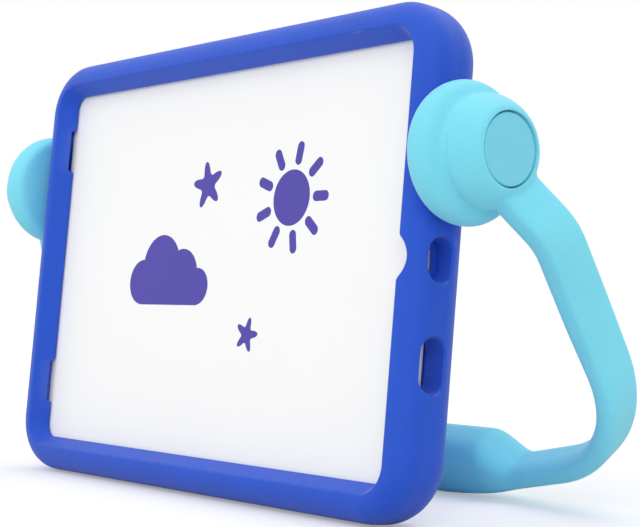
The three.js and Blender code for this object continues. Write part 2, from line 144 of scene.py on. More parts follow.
def arc(centre_u, centre_v, radius, start, end, steps):
    """Points of an arc between two angles in degrees."""
    turns = [math.radians(start + (end - start) * i / steps) for i in range(steps + 1)]
    return [(centre_u + radius * math.cos(t), centre_v + radius * math.sin(t)) for t in turns]


def bezier(points, steps):
    """Points of a quadratic or cubic curve, given by its control points."""
    made = []
    for i in range(steps + 1):
        row = [Vector(p) for p in points]
        while len(row) > 1:
            row = [a.lerp(b, i / steps) for a, b in zip(row, row[1:])]
        made.append(tuple(row[0]))
    return made


def disc(centre_u, centre_v, radius, steps=48):
    """Points of a disc."""
    return [(centre_u + radius * math.cos(t), centre_v + radius * math.sin(t))
            for t in np.linspace(0, 2 * math.pi, steps, endpoint=False)]


def distinct(points, least=0.01):
    """The points without those that repeat the one before."""
    kept = [points[0]]
    for p in points[1:]:
        if math.dist(p, kept[-1]) > least:
            kept.append(p)
    return kept


# %% Skins and solids
WELD_DISTANCE = 1e-7  # in metres


def new_piece(name, points, faces, place):
    """A mesh object from points in millimetres, with its faces turned outwards."""
    mesh = bpy.data.meshes.new(name)
    mesh.from_pydata([Vector(p) * MM for p in points], [], faces)
    solid = bmesh.new()
    solid.from_mesh(mesh)
    bmesh.ops.remove_doubles(solid, verts=solid.verts, dist=WELD_DISTANCE)
    bmesh.ops.recalc_face_normals(solid, faces=solid.faces)
    solid.to_mesh(mesh)
    solid.free()
    piece = bpy.data.objects.new(name, mesh)
    piece.matrix_world = place
    bpy.context.scene.collection.objects.link(piece)
    return piece


def loft(name, rings, place):
    """A closed skin over rings with equal point counts, with a fan on each end."""
    count = len(rings[0])
    points = [p for ring in rings for p in ring]
    faces = []
    for r in range(len(rings) - 1):
        for i in range(count):
            a, b = r * count + i, r * count + (i + 1) % count
            faces.append((a, b, b + count, a + count))
    for r in (0, len(rings) - 1):
        points.append(tuple(sum(c) / count for c in zip(*rings[r])))
        faces += [(r * count + i, r * count + (i + 1) % count, len(points) - 1) for i in range(count)]
    return new_piece(name, points, faces, place)


def turned(name, stations, steps, side, place):
    """A piece turned about the x axis, from stations out from the side wall and radii."""
    turns = [math.radians(360 * i / steps) for i in range(steps)]
    rings = [[(side * (WALL_X + x), r * math.cos(t), r * math.sin(t)) for t in turns] for x, r in stations]
    return loft(name, rings, place)


def apply_modifiers(piece):
    """Replaces the piece's mesh by what its modifiers make of it."""
    graph = bpy.context.evaluated_depsgraph_get()
    finished = bpy.data.meshes.new_from_object(piece.evaluated_get(graph))
    piece.modifiers.clear()
    piece.data = finished


def cut(piece, cutters):
    """Cuts each cutter out of the piece, and deletes the cutter."""
    for cutter in cutters:
        bpy.context.view_layer.update()
        knife = piece.modifiers.new("cut", "BOOLEAN")
        knife.operation = "DIFFERENCE"
        knife.solver = "MANIFOLD"
        knife.object = cutter
        apply_modifiers(piece)
        bpy.data.objects.remove(cutter)


def smooth(piece, angle):
    """Shades the piece smoothly, apart from edges sharper than the angle."""
    piece.data.shade_smooth()
    piece.data.set_sharp_from_angle(angle=math.radians(angle))


def even_shading(piece):
    """Lets the large faces lead the shading, so that a cut's thin triangles leave no streaks."""
    weigh = piece.modifiers.new("weigh", "WEIGHTED_NORMAL")
    weigh.keep_sharp = True
    apply_modifiers(piece)


def settle(piece, body, slot_name, *stands_for):
    """Moves the piece's place into its mesh, hangs it on its body, and hides the imported parts it stands for."""
    piece.data.transform(piece.matrix_world)
    piece.matrix_world = Matrix.Identity(4)
    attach(piece, body)
    if stands_for:
        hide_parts(*stands_for)


def triangles(piece):
    """The number of triangles in a piece's mesh."""
    return sum(len(p.vertices) - 2 for p in piece.data.polygons)


# %% [markdown]
# ## The foam case
# The real case is one compression moulding. Its section is the same all the way round: a lip that holds
# the tablet, a slanted bevel down to it, a soft front ridge, and big round edges at the front and back.
# It could be a box with bevelled edges, but then each edge would have the same radius on every corner. So
# the section is drawn once, out from the window's edge, and every point of it becomes a ring round the
# window. The corner radius grows from the window to the outer wall.

# %% Section of the rail
RIDGE_SPREAD, LIP_LEAN, LIP_RISE = 0.6, 0.3, 1.2  # shares of the ridge's radius and of the lip's edge
LIP_STEPS, RIDGE_STEPS, EDGE_STEPS, BACK_STEPS = 5, 6, 14, 10


def rail_section():
    """Points of offset from the window's edge and depth behind the front ridge."""
    step = RAIL_WIDTH - BACK_RAIL_WIDTH
    step_middle = step - BACK_STEP_RUN / 2
    ridge_run = RIDGE_RADIUS * RIDGE_SPREAD
    lip_top = (LIP_EDGE * LIP_LEAN, LIP_DEPTH - LIP_EDGE * LIP_RISE)
    ridge = [(BEVEL_WIDTH - ridge_run, RIDGE_RADIUS), (BEVEL_WIDTH, 0), (BEVEL_WIDTH + ridge_run, 0)]
    back = CASE_THICKNESS - BACK_RADIUS
    points = [(POCKET_EDGE, POCKET_FLOOR), (POCKET_EDGE, LIP_DEPTH), (LIP_EDGE, LIP_DEPTH)]
    points += bezier([(LIP_EDGE, LIP_DEPTH), (0, LIP_DEPTH), lip_top], LIP_STEPS)
    points += bezier(ridge, RIDGE_STEPS)
    points += arc(RAIL_WIDTH - FRONT_RADIUS, FRONT_RADIUS, FRONT_RADIUS, -90, 0, EDGE_STEPS)
    points += arc(RAIL_WIDTH - BACK_RADIUS, back, BACK_RADIUS, 0, 90, EDGE_STEPS)
    points += [(step / 2, CASE_THICKNESS)]
    points += bezier([(step, CASE_THICKNESS), (step_middle, CASE_THICKNESS),
                      (step_middle, PANEL_BACK), (step - BACK_STEP_RUN, PANEL_BACK)], BACK_STEPS)
    return distinct(points)


# %% Rings round the window
LEAST_CORNER, CORNER_STEPS, SIDE_SPLITS = 2.0, 18, (90, 60)


def case_ring(offset, depth):
    """A ring round the window at that offset and depth."""
    corner = max(WINDOW_CORNER + (OUTER_CORNER - WINDOW_CORNER) * offset / RAIL_WIDTH, LEAST_CORNER)
    outline = rounded_rectangle(WINDOW_X + offset, WINDOW_Z + offset, corner, CORNER_STEPS, SIDE_SPLITS)
    return [(u, depth, v) for u, v in outline]


case_foam = loft("case_foam", [case_ring(o, d) for o, d in rail_section()], case_frame)
print("case moulding before its cut-outs:", triangles(case_foam), "triangles")

# %% [markdown]
# ## Cut-outs with soft mouths
# In foam no cut-out has a knife edge: the mould rounds each mouth by about a millimetre. A boolean leaves
# a hard edge, so the cutters carry the rounding instead. Each one is a short loft that widens like a
# trumpet as it nears the skin, and it follows the skin's own curve, so the mouth is soft all round.

# %% How far the skin lies below the flat of a wall
BEVEL_TOP, BEVEL_FALL = 0.4, 6.8


def wall_recess(depth):
    """Recess of the side wall at that depth behind the front ridge, where its edges are rounded."""
    if depth < FRONT_RADIUS:
        return FRONT_RADIUS - math.sqrt(max(FRONT_RADIUS ** 2 - (FRONT_RADIUS - depth) ** 2, 0))
    past = depth - (CASE_THICKNESS - BACK_RADIUS)
    if past > 0:
        return BACK_RADIUS - math.sqrt(max(BACK_RADIUS ** 2 - past ** 2, 0))
    return 0.0


def bevel_recess(offset):
    """Depth of the front skin at that offset from the window's edge."""
    if offset < BEVEL_WIDTH:
        return BEVEL_TOP + BEVEL_FALL * min(1 - offset / BEVEL_WIDTH, 1)
    past = offset - (RAIL_WIDTH - FRONT_RADIUS)
    return FRONT_RADIUS - math.sqrt(FRONT_RADIUS ** 2 - past ** 2) if past > 0 else 0.0


# %% Cutters that widen at the mouth
SOFT_MOUTH, THIN_MOUTH, FINE_MOUTH = 1.1, 0.6, 0.3
MOUTH_STEPS, MOUTH_FLARE = 5, 1.02
SLOT_STEPS, SLOT_SPLITS = 9, (6, 4)


def trumpet(name, outline, skin, axis_point, deep, mouth=SOFT_MOUTH, proud=4.0):
    """A cutter whose outline grows by the mouth's radius just under the skin.

    outline(grow) gives the points, skin(point) how far the skin lies below the flat, and
    axis_point(point, height) puts a point at that height above the flat."""
    rings = [[axis_point(p, -deep) for p in outline(0)]]
    for i in range(MOUTH_STEPS + 1):
        turn = math.radians(90 * i / MOUTH_STEPS)
        grow, below = mouth * (1 - math.cos(turn)), mouth * (1 - math.sin(turn))
        rings.append([axis_point(p, -skin(p) - below) for p in outline(grow)])
    rings.append([axis_point(p, proud) for p in outline(mouth * MOUTH_FLARE)])
    return loft(name, rings, case_frame)


def side_mouth(name, side, length, width, corner, y, z, deep, mouth=SOFT_MOUTH):
    """A cutter for a slot in a side wall, its length upright."""
    def outline(grow):
        slot = rounded_rectangle(length / 2 + grow, width / 2 + grow, corner + grow, SLOT_STEPS, SLOT_SPLITS)
        return [(y + v, z + u) for u, v in slot]
    return trumpet(name, outline, lambda p: wall_recess(p[0]),
                   lambda p, up: (side * (WALL_X + up), p[0], p[1]), deep, mouth)


# %% Slots of the side walls
OVERRUN = 1.0
ROUND_SLOT_WIDTH, ROUND_SLOT_CORNER = 11.0, 5.45
PORT_LENGTH, PORT_Y, PORT_DEPTH = 16.8, 12.0, 8.6
PLUG_LENGTH, PLUG_WIDTH, PLUG_CORNER = 10.4, 5.0, 2.45
SPEAKER_LENGTH, SPEAKER_Y, SPEAKER_Z = 20.5, 11.6, -38.2
KEY_LENGTH, KEY_WIDTH, KEY_CORNER, KEY_Y, KEY_Z = 20.4, 7.0, 1.6, 9.7, 56.0

wall_depth = RAIL_WIDTH - POCKET_EDGE
through_wall, through_rail = wall_depth + OVERRUN, RAIL_WIDTH + OVERRUN
cutters = [
    side_mouth("port_mouth", 1, PORT_LENGTH, ROUND_SLOT_WIDTH, ROUND_SLOT_CORNER, PORT_Y, 0.0, PORT_DEPTH),
    side_mouth("port_hole", 1, PLUG_LENGTH, PLUG_WIDTH, PLUG_CORNER, SLAB_MIDDLE, 0.0, through_wall,
               mouth=FINE_MOUTH),
    side_mouth("speaker_slot", 1, SPEAKER_LENGTH, ROUND_SLOT_WIDTH, ROUND_SLOT_CORNER, SPEAKER_Y, SPEAKER_Z,
               through_wall),
]
for name, z in (("upper_key_slot", KEY_Z), ("lower_key_slot", -KEY_Z)):
    cutters.append(side_mouth(name, -1, KEY_LENGTH, KEY_WIDTH, KEY_CORNER, KEY_Y, z, through_rail,
                              mouth=THIN_MOUTH))
print("side slots:", [c.name for c in cutters])

# %% Home notch, volume slot and camera hole
HOME_RADIUS, HOME_REACH, HOME_MOUTH, HOME_PROUD = 9.4, 8.6, 0.7, 3.0
HOME_POINTS = 48
VOLUME_X, VOLUME_HALF_LENGTH, VOLUME_HALF_WIDTH, VOLUME_CORNER = -82.3, 17.0, 4.5, 4.4
CAMERA_INSET, CAMERA_RADIUS, CAMERA_STRAIGHT, CAMERA_FLARE = 12.5, 6.5, 3.0, 15.0


def home_outline(grow):
    """The round of the home notch, which reaches past the window's edge."""
    circle = arc(0, 0, HOME_RADIUS + grow, 0, 360 - 360 / HOME_POINTS, HOME_POINTS - 1)
    return [(HOME_REACH - HOME_RADIUS + u, v) for u, v in circle]


def volume_outline(grow):
    """The long slot over the volume keys, in the top rail."""
    half_length, half_width = VOLUME_HALF_LENGTH + grow, VOLUME_HALF_WIDTH + grow
    slot = rounded_rectangle(half_length, half_width, VOLUME_CORNER + grow, SLOT_STEPS, splits=(10, 1))
    return [(VOLUME_X + u, SLAB_MIDDLE + v) for u, v in slot]


cutters.append(trumpet("home_notch", home_outline, lambda p: bevel_recess(p[0]),
                       lambda p, up: (WINDOW_X + p[0], -up, p[1]),
                       LIP_DEPTH + OVERRUN, HOME_MOUTH, HOME_PROUD))
cutters.append(trumpet("volume_slot", volume_outline, lambda p: wall_recess(p[1]),
                       lambda p, up: (p[0], p[1], WALL_Z + up), through_wall))

camera_x = CAMERA_INSET - (WINDOW_X + LIP_OVERLAP)
camera_z = WINDOW_Z + LIP_OVERLAP - CAMERA_INSET
camera_stations = [(-OVERRUN, CAMERA_RADIUS), (CAMERA_STRAIGHT, CAMERA_RADIUS),
                   (CAMERA_STRAIGHT + CAMERA_FLARE, CAMERA_RADIUS + CAMERA_FLARE)]
cutters.append(loft("camera_hole", [
    [(u, POCKET_FLOOR + s, v) for u, v in disc(camera_x, camera_z, r)] for s, r in camera_stations
], case_frame))
print("openings so far:", len(cutters))

# %% Seats of the pivots
WASHER_SEAT_RADIUS, WASHER_SEAT_DEPTH, WASHER_SEAT_PROUD = 6.7, 1.5, 6.0
BOSS_HOLE_RADIUS = 3.5
WASHER_SEAT_SIDES, BOSS_HOLE_SIDES = 32, 24
PLATE_SEAT_HALF_Y, PLATE_SEAT_HALF_Z, PLATE_SEAT_CORNER, PLATE_SEAT_DEPTH = 3.6, 6.8, 0.2, 2.3

pivot_place = case_frame @ Matrix.Translation(to_pivot)
for side in (1, -1):
    washer_seat = [(-WASHER_SEAT_DEPTH, WASHER_SEAT_RADIUS), (WASHER_SEAT_PROUD, WASHER_SEAT_RADIUS)]
    boss_hole = [(-through_wall, BOSS_HOLE_RADIUS), (OVERRUN, BOSS_HOLE_RADIUS)]
    plate_outline = rounded_rectangle(PLATE_SEAT_HALF_Y, PLATE_SEAT_HALF_Z, PLATE_SEAT_CORNER, steps=2)
    plate_seat = [[(side * (WALL_X - wall_depth + x), u, v) for u, v in plate_outline]
                  for x in (-OVERRUN, PLATE_SEAT_DEPTH)]
    cutters.append(turned("washer_seat", washer_seat, WASHER_SEAT_SIDES, side, pivot_place))
    cutters.append(turned("boss_hole", boss_hole, BOSS_HOLE_SIDES, side, pivot_place))
    cutters.append(loft("plate_seat", plate_seat, pivot_place))

# %% Cut the openings
cut(case_foam, cutters)
smooth(case_foam, angle=38)
even_shading(case_foam)
settle(case_foam, "case", "blue_foam", "case_shell")
print("case_foam:", triangles(case_foam), "triangles")

# %% [markdown]
# ## The handle
# The handle is one moulding too: a flat band bent round in a U, a thick pad in the middle of its bar, and
# a double dome on each end. Drawn apart, the band and the domes would meet in hard creases, which foam
# never shows. So the three are drawn as overlapping solids, remeshed into one skin with small voxels, and
# smoothed a little: that gives the soft valley where the arm grows out of the hub. In the names, reach is
# the distance from the pivot towards the bar, and a station is the distance out from the side wall.

# %% Sizes of the band and hubs, in millimetres
ARM_STAND_OFF, BAR_FLAT = 38.4, 58.0
SHOULDER_RADIUS, SHOULDER_SLOPE = 200.0, math.radians(13)
CORNER_RADIUS = 55.0
BAND_THICKNESS, BAND_WIDTH = 9.8, 19.4
ARM_ROUND, BAR_OUTER_ROUND, BAR_INNER_ROUND = (2.4, 2.4), (3.4, 4.4), (4.6, 7.2)
PAD_OUTER_ROUND, PAD_INNER_ROUND = (5.0, 5.0), (8.5, 9.5)
BAR_BLEND_START, BAR_BLEND_END = 60.0, 120.0
STEEPEST_SLANT = 0.5
PAD_REACH, PAD_HALF_LENGTH, PAD_END_LENGTH = 127.6, 90.5, 16.0
ARM_BEND_RADIUS, ARM_ROOT_TURN = 26.0, math.radians(31)
ARM_ROOT_STATION, ARM_ROOT_REACH = 23.8, 9.5
HUB_GAP, HUB_HEIGHT = 0.3, 28.7
CAP_RADIUS, CAP_GAP = 13.0, 0.75
ARM_X = WALL_X + ARM_STAND_OFF
print("handle over its arms:", round(2 * ARM_X, 2), "mm, reach", BAR_REACH, "mm")

# %% Route of the band's outer face
def band_route(spacing=2.2):
    """Half of the route, as place and outward direction, from the bar's middle to the root in the hub."""
    slope, root = SHOULDER_SLOPE, ARM_ROOT_TURN
    corner_x = ARM_X - CORNER_RADIUS
    shoulder_x = BAR_FLAT + SHOULDER_RADIUS * math.sin(slope)
    shoulder_s = BAR_REACH - SHOULDER_RADIUS * (1 - math.cos(slope))
    corner_start_x = corner_x + CORNER_RADIUS * math.sin(slope)
    corner_start_s = shoulder_s - (corner_start_x - shoulder_x) * math.tan(slope)
    corner_s = corner_start_s - CORNER_RADIUS * math.cos(slope)
    bend_x = ARM_X - ARM_BEND_RADIUS
    bend_end_x = bend_x + ARM_BEND_RADIUS * math.cos(root)
    root_x = WALL_X + ARM_ROOT_STATION
    bend_end_s = ARM_ROOT_REACH + (bend_end_x - root_x) / math.tan(root)
    bend_s = bend_end_s + ARM_BEND_RADIUS * math.sin(root)
    stretches = [
        ("line", (0, BAR_REACH), (BAR_FLAT, BAR_REACH)),
        ("arc", (BAR_FLAT, BAR_REACH - SHOULDER_RADIUS), SHOULDER_RADIUS, math.pi / 2, math.pi / 2 - slope),
        ("line", (shoulder_x, shoulder_s), (corner_start_x, corner_start_s)),
        ("arc", (corner_x, corner_s), CORNER_RADIUS, math.pi / 2 - slope, 0),
        ("line", (ARM_X, corner_s), (ARM_X, bend_s)),
        ("arc", (bend_x, bend_s), ARM_BEND_RADIUS, 0, -root),
        ("line", (bend_end_x, bend_end_s), (root_x, ARM_ROOT_REACH)),
    ]
    route = []
    for n, stretch in enumerate(stretches):
        if stretch[0] == "line":
            start, end = Vector(stretch[1]), Vector(stretch[2])
            steps = max(1, round((end - start).length / spacing))
            travel = (end - start).normalized()
            row = [(start.lerp(end, i / steps), Vector((-travel.y, travel.x))) for i in range(steps + 1)]
        else:
            _, centre, radius, first, last = stretch
            steps = max(1, round(radius * abs(last - first) / spacing))
            turns = [first + (last - first) * i / steps for i in range(steps + 1)]
            row = [(Vector(centre) + radius * Vector((math.cos(t), math.sin(t))),
                    Vector((math.cos(t), math.sin(t)))) for t in turns]
        route += row[1:] if n else row
    return route


# %% Sections of the band
def smoothstep(low, high, value):
    """0 below low, 1 above high, and a soft ramp between them."""
    t = min(max((value - low) / (high - low), 0), 1)
    return t * t * (3 - 2 * t)


def soft_section(thick, wide, outer_round, inner_round, steps=7):
    """Points of the band's section from outer to inner face, its corners quarter ellipses."""
    points = []
    rounds = (outer_round, inner_round, inner_round, outer_round)
    for corner, (side_u, side_v) in enumerate(((1, 1), (-1, 1), (-1, -1), (1, -1))):
        round_u, round_v = rounds[corner]
        for i in range(steps + 1):
            turn = math.radians(90 * (corner + i / steps))
            points.append((side_u * (thick / 2 - round_u) + round_u * math.cos(turn),
                           side_v * (wide / 2 - round_v) + round_v * math.sin(turn)))
    return points


def blend(first, second, share):
    """The value or pair that lies that share of the way from the first to the second."""
    if isinstance(first, tuple):
        return tuple(blend(a, b, share) for a, b in zip(first, second))
    return first + (second - first) * share


def band_ring(place, outward, side):
    """One closed ring of the band's section, thicker and wider on the pad."""
    pad = 1 - smoothstep(PAD_HALF_LENGTH, PAD_HALF_LENGTH + PAD_END_LENGTH, place.x)
    to_pad_face = max((place.y - PAD_REACH) / max(outward.y, STEEPEST_SLANT), BAND_THICKNESS)
    thick = blend(BAND_THICKNESS, to_pad_face, pad)
    bar = smoothstep(BAR_BLEND_START, BAR_BLEND_END, place.y)
    outer_round = blend(blend(ARM_ROUND, BAR_OUTER_ROUND, bar), PAD_OUTER_ROUND, pad)
    inner_round = blend(blend(ARM_ROUND, BAR_INNER_ROUND, bar), PAD_INNER_ROUND, pad)
    ring = []
    for u, v in soft_section(thick, blend(BAND_WIDTH, PAD_WIDTH, pad), outer_round, inner_round):
        along = place + outward * (u - thick / 2)
        ring.append((side * along.x, v, -along.y))
    return ring


route = band_route()
rings = [band_ring(p, o, -1) for p, o in route[:0:-1]] + [band_ring(p, o, 1) for p, o in route]
handle_foam = loft("handle_foam", rings, handle_frame)
print("band:", len(rings), "rings")

# %% Double dome of each hub
HUB_SIDES, FACE_RIM, NEAR_AXIS = 96, 0.9, 0.01
DOME_RADIUS = 26.5
HUB_FOOT, DOME_WIDEST = (HUB_GAP, 23.2), (7.5, DOME_RADIUS)
DOME_NECK, DOME_CROWN = (15.2, 19.2), (17.8, 21.1)
DOME_STEPS, NECK_STEPS, CROWN_STEPS = 10, 6, 12


def dome_stations():
    """Stations out from the side wall and radii: a wide dome, a soft neck, a crown and a flat face."""
    face_edge = (HUB_HEIGHT, CAP_RADIUS + CAP_GAP + FACE_RIM)
    points = [(HUB_GAP, NEAR_AXIS), HUB_FOOT]
    points += bezier([HUB_FOOT, (2.1, 25.4), (4.6, DOME_RADIUS), DOME_WIDEST], DOME_STEPS)
    points += bezier([DOME_WIDEST, (11.5, DOME_RADIUS), (13.6, 24.0), DOME_NECK], DOME_STEPS)
    points += bezier([DOME_NECK, (16.0, 19.6), DOME_CROWN], NECK_STEPS)
    points += bezier([DOME_CROWN, (21.4, 20.4), (26.4, 18.0), face_edge], CROWN_STEPS)
    points += [(HUB_HEIGHT, NEAR_AXIS)]
    return distinct(points)


for side in (1, -1):
    dome = turned("dome", dome_stations(), HUB_SIDES, side, handle_frame)
    join = bmesh.new()
    join.from_mesh(handle_foam.data)
    join.from_mesh(dome.data)
    join.to_mesh(handle_foam.data)
    join.free()
    bpy.data.objects.remove(dome)
print("band and domes:", triangles(handle_foam), "triangles")

# %% One skin over the band and domes
VOXEL, RELAX_FACTOR, RELAX_ROUNDS = 1.0, 0.5, 6
skin = handle_foam.modifiers.new("skin", "REMESH")
skin.mode = "VOXEL"
skin.voxel_size = VOXEL * MM
relax = handle_foam.modifiers.new("relax", "SMOOTH")
relax.factor = RELAX_FACTOR
relax.iterations = RELAX_ROUNDS
apply_modifiers(handle_foam)
print("handle skin:", triangles(handle_foam), "triangles")

# %% Recess for each cap, and the stepped bore behind it
CAP_SEAT_STATION, BORE_SIDES = 25.1, 48
RECESS_EDGE = [(-0.3, 0.0), (-0.1, 0.08), (0.1, 0.3), (3.0, 0.4)]  # past the face, and wider
BORE = [(-2.0, 2.2, 9.5), (2.2, 18.3, 5.4), (18.3, 22.1, 7.7), (22.1, 26.0, 10.1)]  # from, to, radius

recess_radius = CAP_RADIUS + CAP_GAP
recess = [(CAP_SEAT_STATION, recess_radius)]
recess += [(HUB_HEIGHT + past, recess_radius + wider) for past, wider in RECESS_EDGE]
bore = [(station, radius) for start, end, radius in BORE for station in (start, end)]
recesses = []
for side in (1, -1):
    recesses.append(turned("cap_recess", recess, HUB_SIDES, side, handle_frame))
    recesses.append(turned("bore", bore, BORE_SIDES, side, handle_frame))
cut(handle_foam, recesses)
smooth(handle_foam, angle=45)
settle(handle_foam, "handle_arm", "sky_foam", "handle")
print("handle_foam:", triangles(handle_foam), "triangles")

# %% [markdown]
# ## Hub caps
# Each hub is closed by a round cap that sits a hair below the dome's face. Its edge has a fine round, and
# its face is very slightly crowned, so that light slides over it. A bevelled cylinder would give the round
# but not the crown, so the cap is turned from one profile, with the snap skirt that holds it. It takes the
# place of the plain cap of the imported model.

# %% Turn the caps
CAP_SUNK, CAP_PLATE, CAP_CROWN, CAP_ROUND = 0.3, 3.0, 0.35, 0.35
SKIRT_OUTER, SKIRT_INNER, SKIRT_DEPTH = 9.8, 8.4, 3.0
CAP_CENTRE, FACE_STATIONS, RIM_STATIONS = 1.5, 8, 6

cap_face = HUB_HEIGHT - CAP_SUNK
cap_back = cap_face - CAP_PLATE
skirt_end = cap_back - SKIRT_DEPTH
flat_radius = CAP_RADIUS - CAP_ROUND
crown = [(cap_face - CAP_CROWN * (r / flat_radius) ** 2, r)
         for r in np.linspace(CAP_CENTRE, flat_radius, FACE_STATIONS)]
rim = [(cap_face - CAP_CROWN - CAP_ROUND * (1 - math.cos(t)), flat_radius + CAP_ROUND * math.sin(t))
       for t in np.linspace(0, math.pi / 2, RIM_STATIONS)]
under = [(cap_back, CAP_RADIUS), (cap_back, SKIRT_OUTER), (skirt_end, SKIRT_OUTER),
         (skirt_end, SKIRT_INNER), (cap_back, SKIRT_INNER), (cap_back, CAP_CENTRE)]
caps = []
for name, side in (("left", -1), ("right", 1)):
    cap = turned(f"cap_{name}", distinct(crown + rim + under), HUB_SIDES, side, handle_frame)
    smooth(cap, angle=50)
    settle(cap, "handle_arm", "sky_cap", f"hub_cap_{name}")
    caps.append(cap)
print("caps:", [triangles(c) for c in caps], "triangles")

# %% [markdown]
# ## The printed display slab
# The white slab stands for the tablet. Its print is a few flat indigo shapes. A print has crisp edges at
# any distance, so each shape is a very thin solid that lies on the face, and not a painted texture. Each
# is drawn round a centre of its own, which is measured from the window's middle.

# %% Outlines of the printed shapes
PRINT_THICKNESS, PRINT_STEP = 0.05, 0.001
TIP_SHARPNESS = 1.6


def star(centre_x, centre_z, outer, inner, lean_degrees, points=5, steps=80):
    """Points of a star whose tips and valleys are both soft."""
    made = []
    for turn in np.linspace(0, 2 * math.pi, steps, endpoint=False):
        rise = (0.5 + 0.5 * math.cos(points * turn)) ** TIP_SHARPNESS
        radius = inner + (outer - inner) * rise
        heading = turn + math.radians(90 + lean_degrees)
        made.append((centre_x + radius * math.cos(heading), centre_z + radius * math.sin(heading)))
    return made


def capsule(start, end, width, steps=10):
    """Points of a round-ended bar between two places."""
    start, end = Vector(start), Vector(end)
    heading = math.atan2(end.y - start.y, end.x - start.x)
    made = []
    for centre, first in ((end, heading - math.pi / 2), (start, heading + math.pi / 2)):
        for i in range(steps + 1):
            turn = first + math.pi * i / steps
            made.append((centre.x + width / 2 * math.cos(turn), centre.y + width / 2 * math.sin(turn)))
    return made


def printed(name, outlines):
    """A thin printed shape from flat outlines that may overlap, welded into one field of colour.

    Each outline stands a hair prouder than the last, so that no two faces of the weld lie in one plane."""
    pieces = []
    for n, outline in enumerate(outlines):
        heights = (0.0, PRINT_THICKNESS + PRINT_STEP * n)
        rings = [[(u, SLAB_FRONT - height, v) for u, v in outline] for height in heights]
        pieces.append(loft(f"{name}_{n}", rings, case_frame))
    whole = pieces[0]
    whole.name = name
    for other in pieces[1:]:
        bpy.context.view_layer.update()
        weld = whole.modifiers.new("weld", "BOOLEAN")
        weld.operation = "UNION"
        weld.solver = "EXACT"
        weld.object = other
        apply_modifiers(whole)
        bpy.data.objects.remove(other)
    settle(whole, "case", "white_shell")
    return whole


# %% Print the shapes
SUN_X, SUN_Z, SUN_RADIUS = 50.0, 26.0, 11.5
RAY_COUNT, RAY_START, RAY_END, RAY_WIDTH = 9, 15.5, 21.0, 4.2
CLOUD_PUFFS = [(-52, -8, 10), (-38, -1, 14), (-22, -5, 11.5), (-10, -10, 8)]
CLOUD_BASE = ((-52, -13), (-10, -13), 10.4)
LARGE_STAR = (-8, 34, 10.5, 5.0, 12)
SMALL_STAR = (28, -30, 7.4, 3.5, -14)

rays = [capsule((SUN_X + RAY_START * math.cos(t), SUN_Z + RAY_START * math.sin(t)),
                (SUN_X + RAY_END * math.cos(t), SUN_Z + RAY_END * math.sin(t)), RAY_WIDTH)
        for t in np.linspace(0, 2 * math.pi, RAY_COUNT, endpoint=False)]
prints = [
    printed("printed_sun", [disc(SUN_X, SUN_Z, SUN_RADIUS)]),
    printed("printed_cloud", [disc(*puff) for puff in CLOUD_PUFFS] + [capsule(*CLOUD_BASE)]),
    printed("printed_star_large", [star(*LARGE_STAR)]),
    printed("printed_star_small", [star(*SMALL_STAR)]),
]
prints += [printed(f"printed_ray_{n}", [ray]) for n, ray in enumerate(rays)]
print("printed shapes:", len(prints))

# %% [markdown]
# ## Shared effects
# Moulded foam has a closed skin: nearly even in colour, with faint clouds where the cells lie closer, and
# a fine pebbled grain that breaks up the gloss. Convex edges are painted lighter: a painted highlight where
# the rounds catch light. Every finish on the object uses these two effects, so each effect is one node
# group, set to its own strength where it is used. The groups give out colours, roughness and heights only,
# and the shader stays in the material.

# %% Helpers for node trees
def add(tree, kind, place, **values):
    """Adds a node at a place in the tree and sets its own properties."""
    made = tree.nodes.new(kind)
    made.location = place
    for key, value in values.items():
        setattr(made, key, value)
    return made


def give(node, values):
    """Sets the values of a node's inputs, by name or number."""
    for socket, value in values.items():
        node.inputs[socket].default_value = value


def new_group(name, inputs, outputs):
    """A shader node group with named sockets, its input node and its output node."""
    tree = bpy.data.node_groups.new(name, "ShaderNodeTree")
    for socket, kind, value in inputs:
        made = tree.interface.new_socket(socket, in_out="INPUT", socket_type=kind)
        made.default_value = value
    for socket, kind in outputs:
        tree.interface.new_socket(socket, in_out="OUTPUT", socket_type=kind)
    return tree, add(tree, "NodeGroupInput", (-900, 0)), add(tree, "NodeGroupOutput", (700, 0))


# %% Foam skin group
CLOUD_SCALE, CLOUD_DETAIL, CLOUD_LOW, CLOUD_HIGH = 28.0, 4.0, 0.3, 0.7
PEBBLE_SMOOTHNESS, FINE_DETAIL, FINE_SHARE = 0.6, 2.0, 0.4
ROUGH_SHARE = 0.6

skin_group, skin_in, skin_out = new_group(
    "foam_skin",
    [("Colour", "NodeSocketColor", (0.5, 0.5, 0.5, 1)), ("Clouds", "NodeSocketFloat", 0.05),
     ("Roughness", "NodeSocketFloat", 0.6), ("Grain Size", "NodeSocketFloat", 900.0)],
    [("Colour", "NodeSocketColor"), ("Roughness", "NodeSocketFloat"), ("Height", "NodeSocketFloat")])
place = add(skin_group, "ShaderNodeTexCoord", (-900, -250))
clouds = add(skin_group, "ShaderNodeTexNoise", (-650, 150))
give(clouds, {"Scale": CLOUD_SCALE, "Detail": CLOUD_DETAIL})
pebbles = add(skin_group, "ShaderNodeTexVoronoi", (-650, -250), feature="SMOOTH_F1")
give(pebbles, {"Smoothness": PEBBLE_SMOOTHNESS})
fine = add(skin_group, "ShaderNodeTexNoise", (-650, -550))
give(fine, {"Detail": FINE_DETAIL})
swing_range = add(skin_group, "ShaderNodeMapRange", (-420, 150))
give(swing_range, {"From Min": CLOUD_LOW, "From Max": CLOUD_HIGH, "To Min": -1.0, "To Max": 1.0})
strength = add(skin_group, "ShaderNodeMath", (-200, 150), operation="MULTIPLY")
value = add(skin_group, "ShaderNodeMath", (0, 150), operation="ADD")
give(value, {1: 1.0})
tint = add(skin_group, "ShaderNodeHueSaturation", (200, 150))
rough_add = add(skin_group, "ShaderNodeMath", (200, -100), operation="MULTIPLY_ADD")
give(rough_add, {1: ROUGH_SHARE})
